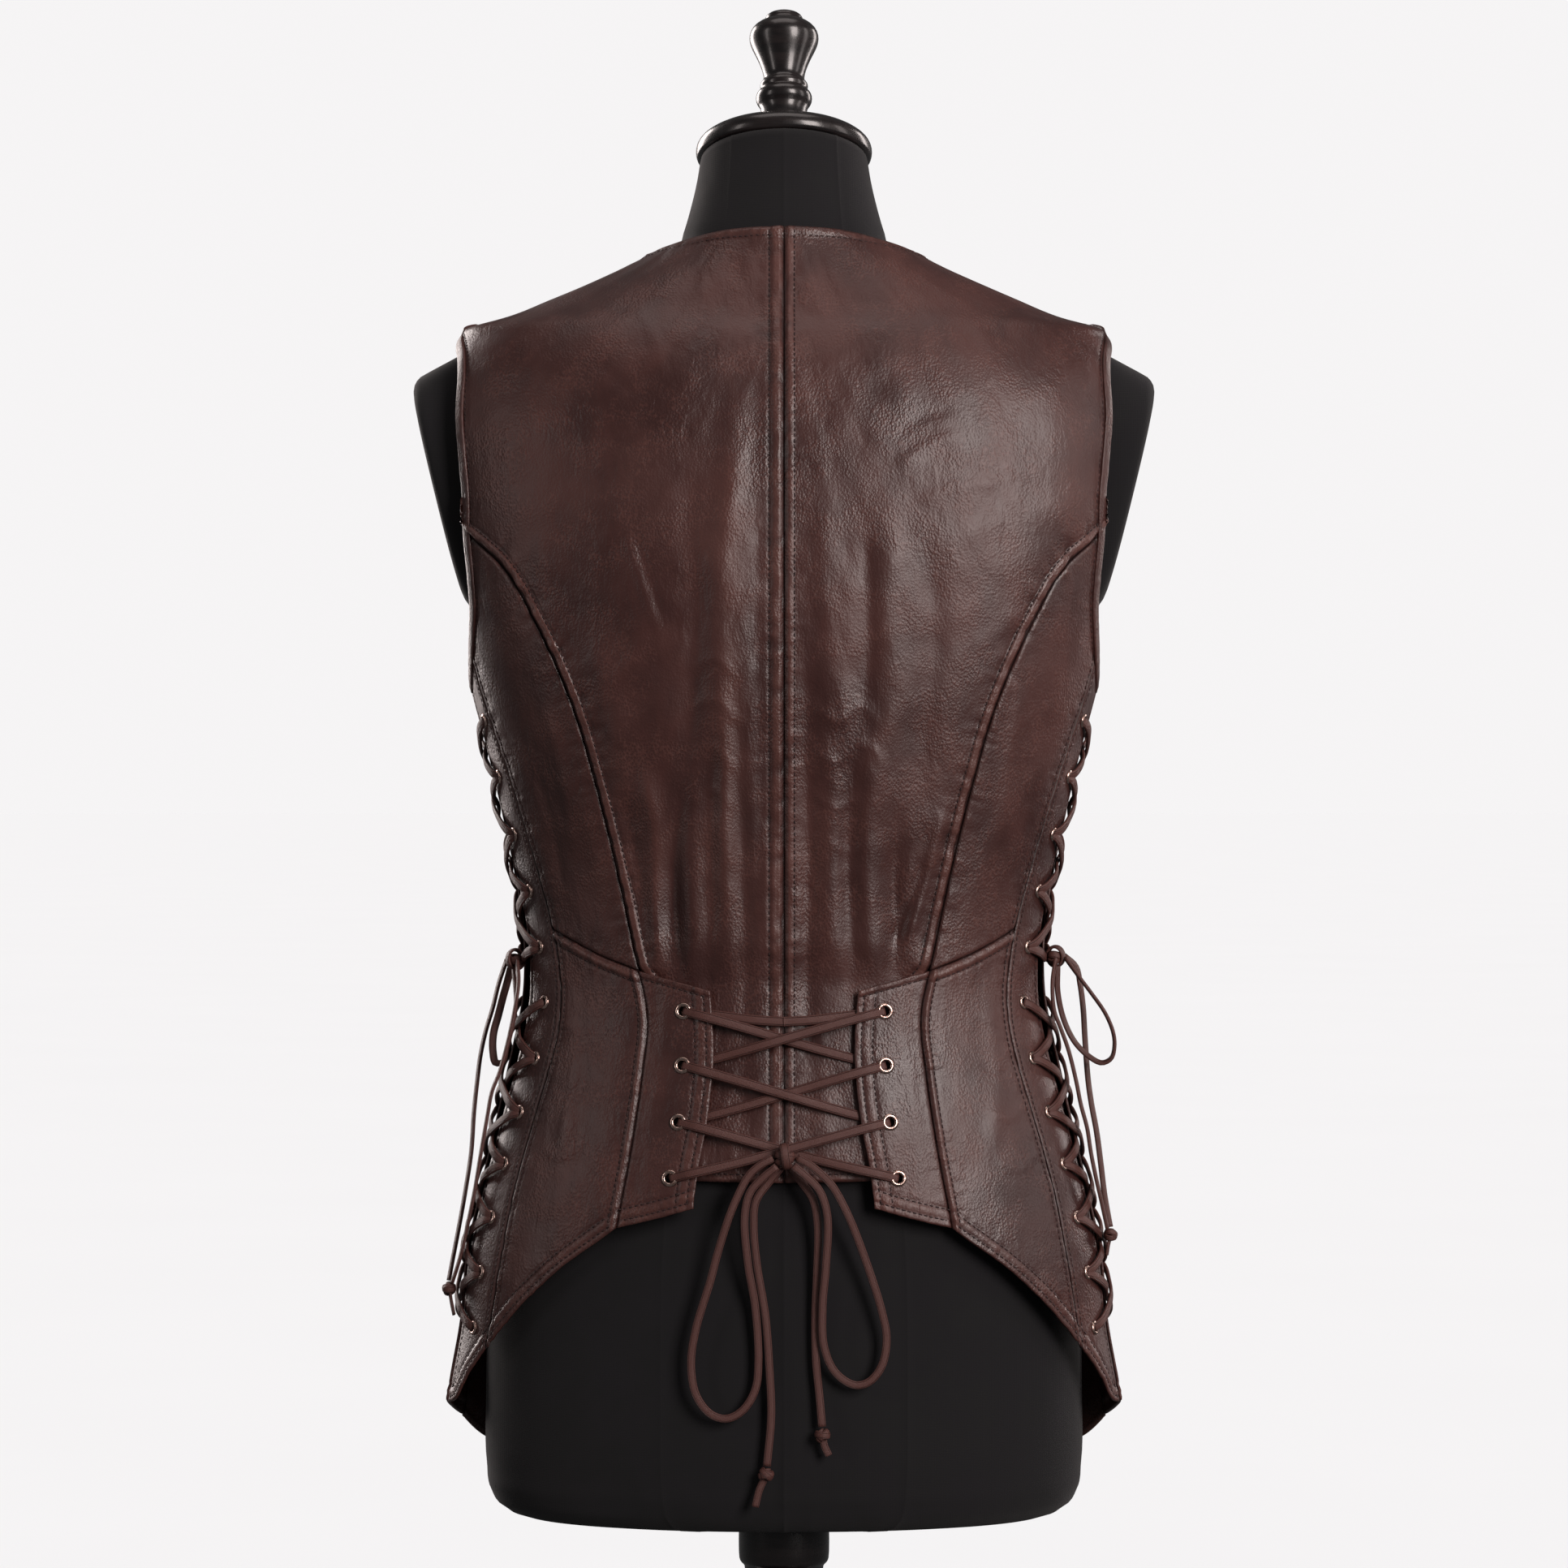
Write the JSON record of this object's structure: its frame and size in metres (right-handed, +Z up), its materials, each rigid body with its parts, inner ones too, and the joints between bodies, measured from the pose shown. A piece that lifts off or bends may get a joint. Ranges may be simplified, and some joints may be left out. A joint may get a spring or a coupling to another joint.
{
  "type": "leather vest on a dress form",
  "caption": "Sleeveless long leather vest with a laced back waist and laced open side seams, standing on a limbless dress form with a lathe-turned neck cap and a round foot.",
  "frame": {"origin": "centre of the stand's underside, on the floor", "axes": "+Z up, -Y to the wearer's front, +Y to the back with the lacing, +X to the wearer's left"},
  "size_m": [0.4808, 0.38, 1.2495],
  "materials": {
    "leather": "dark brown pebbled leather, slightly waxed",
    "lace": "flat red-brown leather lace",
    "copper": "antique copper",
    "cloth": "matt black cloth",
    "lacquer": "black gloss lacquer on turned wood"
  },
  "bodies": {
    "root": {"back_centre_left": "leather", "back_centre_right": "leather", "back_side_left": "leather", "back_side_right": "leather", "peplum_left": "leather", "peplum_right": "leather", "lacing_tab_left": "leather", "lacing_tab_right": "leather", "side_band_back_left": "leather", "side_band_back_right": "leather", "side_band_front_left": "leather", "side_band_front_right": "leather", "front_left": "leather", "front_right": "leather", "armhole_binding_left": "leather", "armhole_binding_right": "leather", "back_lace_left": "lace", "back_lace_right": "lace", "side_lace_upper_over_left": "lace", "side_lace_upper_over_right": "lace", "side_lace_upper_under_left": "lace", "side_lace_upper_under_right": "lace", "side_lace_lower_over_left": "lace", "side_lace_lower_over_right": "lace", "side_lace_lower_under_left": "lace", "side_lace_lower_under_right": "lace", "back_loop_left": "lace", "back_loop_right": "lace", "back_tail_left": "lace", "back_tail_right": "lace", "side_loop_left": "lace", "side_loop_right": "lace", "side_tail_outer_left": "lace", "side_tail_outer_right": "lace", "side_tail_inner_left": "lace", "side_tail_inner_right": "lace", "side_knot_left": "lace", "side_knot_right": "lace", "back_end_left": "lace", "back_end_right": "lace", "side_end_left": "lace", "side_end_right": "lace", "back_knot": "lace", "back_eyelet_left_1": "copper", "back_eyelet_left_2": "copper", "back_eyelet_left_3": "copper", "back_eyelet_left_4": "copper", "back_eyelet_right_1": "copper", "back_eyelet_right_2": "copper", "back_eyelet_right_3": "copper", "back_eyelet_right_4": "copper", "form_body": "cloth", "neck_cap": "lacquer", "finial": "lacquer", "pole": "lacquer", "base": "lacquer"}
  },
  "joints": []
}
